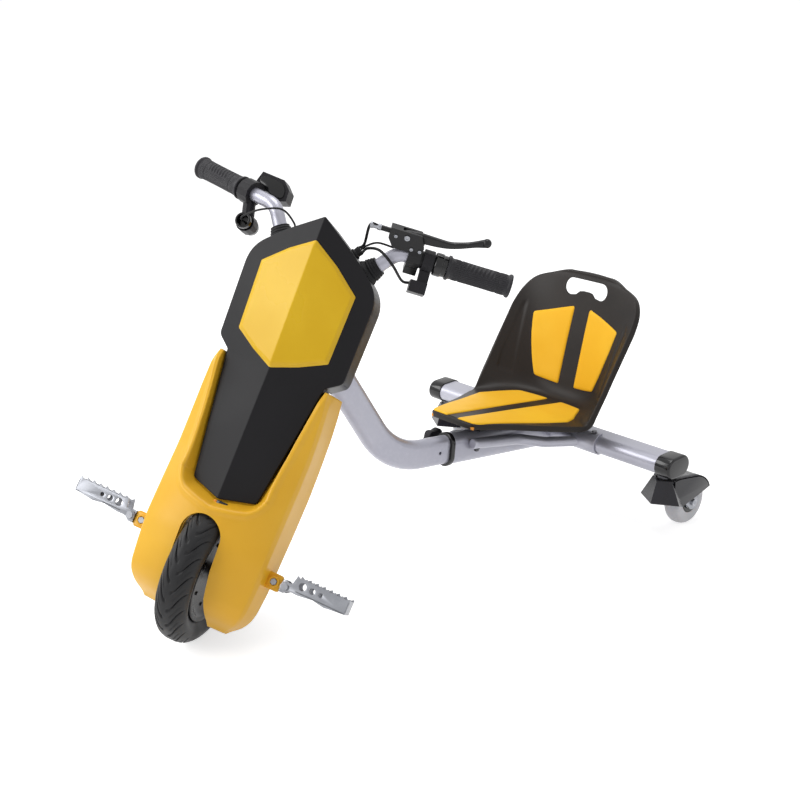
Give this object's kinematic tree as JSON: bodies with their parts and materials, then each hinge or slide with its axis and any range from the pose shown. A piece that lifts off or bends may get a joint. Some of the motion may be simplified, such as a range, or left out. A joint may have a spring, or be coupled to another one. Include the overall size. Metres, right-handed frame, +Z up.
{
  "type": "tricycle drifter scooter",
  "caption": "Electric drift tricycle with a hub-motor front wheel in a moulded shroud, a faceted fairing, a bucket seat on a telescopic frame and swivelling rear casters.",
  "frame": {"origin": "middle of the footprint at the floor, the front end turned to the rider's left as stored", "axes": "+Z up, the front points along -Y, the rider's left is +X"},
  "size_m": [0.6284, 1.0264, 0.7058],
  "materials": {
    "silver_paint": "satin silver paint",
    "black_paint": "satin black paint",
    "black_plastic": "satin moulded black",
    "gloss_black": "glossy moulded black",
    "yellow_shell": "satin moulded warm yellow",
    "yellow_panel": "smooth moulded yellow",
    "orange_pad": "matte orange-yellow covered foam",
    "violet_plastic": "satin dark grey",
    "pale_resin": "pale cloudy wheel resin",
    "black_rubber": "matte black",
    "tyre_rubber": "matte black with chevron tread",
    "hub_paint": "black paint",
    "bare_steel": "plated and brushed",
    "battery_case": "dark grey case",
    "controller_case": "plain case"
  },
  "bodies": {
    "rear_frame": {"main_tube": "silver_paint", "rear_beam": "silver_paint", "tube_collar": "gloss_black", "beam_cap_left": "gloss_black", "beam_cap_right": "gloss_black", "brace_left": "silver_paint", "brace_right": "silver_paint", "seat_bracket": "black_paint", "seat_shell": "black_plastic", "back_pad_left": "orange_pad", "back_pad_right": "orange_pad", "pan_pad_left": "orange_pad", "pan_pad_right": "orange_pad", "caster_swivel_left": "bare_steel", "caster_swivel_right": "bare_steel"},
    "length_knob": {"length_knob": "black_plastic"},
    "neck": {"gooseneck_tube": "silver_paint", "head_tube": "silver_paint", "headset_upper": "black_paint", "headset_lower": "black_paint"},
    "steering": {"fork": "black_paint", "front_axle": "bare_steel", "handlebar_clamp": "black_paint", "handlebar": "silver_paint", "front_shroud": "yellow_shell", "fairing_cover": "black_plastic", "fairing_back": "black_plastic", "fairing_panel": "yellow_panel", "battery_pack": "battery_case", "motor_controller": "controller_case", "bar_gland_left": "black_rubber", "bar_gland_right": "black_rubber", "cable_grommet": "black_rubber", "grip_left": "black_rubber", "throttle_housing": "black_plastic", "key_barrel": "black_plastic", "brake_perch": "black_paint", "switch_box": "black_plastic", "peg_bracket_left": "bare_steel", "peg_bracket_right": "bare_steel", "brake_cable": "black_rubber", "brake_sensor_cable": "black_rubber", "switch_cable": "black_rubber", "throttle_cable": "black_rubber"},
    "front_wheel": {"front_tyre": "tyre_rubber", "hub_motor": "hub_paint"},
    "brake_lever": {"brake_lever": "black_paint"},
    "throttle_grip": {"throttle_grip": "black_rubber"},
    "key_plug": {"key_plug": "bare_steel"},
    "horn_button": {"horn_button": "gloss_black"},
    "peg_left": {"peg_left": "bare_steel"},
    "peg_right": {"peg_right": "bare_steel"},
    "caster_left": {"caster_fork_left": "bare_steel", "caster_fender_left": "violet_plastic", "caster_axle_left": "bare_steel"},
    "caster_wheel_left": {"caster_wheel_left": "pale_resin"},
    "caster_right": {"caster_fork_right": "bare_steel", "caster_fender_right": "violet_plastic", "caster_axle_right": "bare_steel"},
    "caster_wheel_right": {"caster_wheel_right": "pale_resin"}
  },
  "joints": [
    {"name": "neck_slide", "type": "slide", "parent": "rear_frame", "child": "neck", "axis": [0, -0.9886, 0.1507], "range_m": [-0.042, 0.042]},
    {"name": "length_knob_turn", "type": "hinge", "parent": "rear_frame", "child": "length_knob", "pos_m": [-0.03, 0.13041, 0.16425], "axis": [-1, 0, 0], "range_deg": [-360, 0]},
    {"name": "steering", "type": "hinge", "parent": "neck", "child": "steering", "pos_m": [0, -0.40759, 0.12906], "axis": [0, 0.5793, 0.8151], "range_deg": [-74.7, 15.3]},
    {"name": "front_wheel_spin", "type": "hinge", "parent": "steering", "child": "front_wheel", "pos_m": [-0.00798, -0.39619, 0.12095], "axis": [0.8686, 0.4039, -0.287], "continuous": true},
    {"name": "brake_lever_squeeze", "type": "hinge", "parent": "steering", "child": "brake_lever", "pos_m": [0.14735, -0.09734, 0.61737], "axis": [-0.6676, 0.7162, 0.2036], "range_deg": [0, 11], "stiffness_Nm_per_rad": 4, "springref_deg": -5.73},
    {"name": "throttle_twist", "type": "hinge", "parent": "steering", "child": "throttle_grip", "pos_m": [-0.0512, -0.18874, 0.64999], "axis": [-0.9748, -0.0604, 0.2149], "range_deg": [0, 60], "stiffness_Nm_per_rad": 0.2, "springref_deg": -17.19},
    {"name": "key_turn", "type": "hinge", "parent": "steering", "child": "key_plug", "pos_m": [-0.11183, -0.19303, 0.60469], "axis": [0.4955, -0.708, 0.5032], "range_deg": [0, 90]},
    {"name": "horn_press", "type": "slide", "parent": "steering", "child": "horn_button", "axis": [0.7574, -0.5281, 0.3839], "range_m": [0, 0.002], "stiffness_N_per_m": 400, "springref_m": -0.002},
    {"name": "peg_left_fold", "type": "hinge", "parent": "steering", "child": "peg_left", "pos_m": [0.12433, -0.34375, 0.11436], "axis": [0.4955, -0.708, 0.5032], "range_deg": [0, 80]},
    {"name": "peg_right_fold", "type": "hinge", "parent": "steering", "child": "peg_right", "pos_m": [-0.11541, -0.45522, 0.19357], "axis": [-0.4955, 0.708, -0.5032], "range_deg": [0, 80]},
    {"name": "caster_left_swivel", "type": "hinge", "parent": "rear_frame", "child": "caster_left", "pos_m": [0.2712, 0.39241, 0.1], "axis": [0, 0, 1], "continuous": true},
    {"name": "caster_left_roll", "type": "hinge", "parent": "caster_left", "child": "caster_wheel_left", "pos_m": [0.2712, 0.45241, 0.0447], "axis": [1, 0, 0], "continuous": true},
    {"name": "caster_right_swivel", "type": "hinge", "parent": "rear_frame", "child": "caster_right", "pos_m": [-0.2712, 0.39241, 0.1], "axis": [0, 0, 1], "continuous": true},
    {"name": "caster_right_roll", "type": "hinge", "parent": "caster_right", "child": "caster_wheel_right", "pos_m": [-0.2712, 0.45241, 0.0447], "axis": [1, 0, 0], "continuous": true}
  ]
}
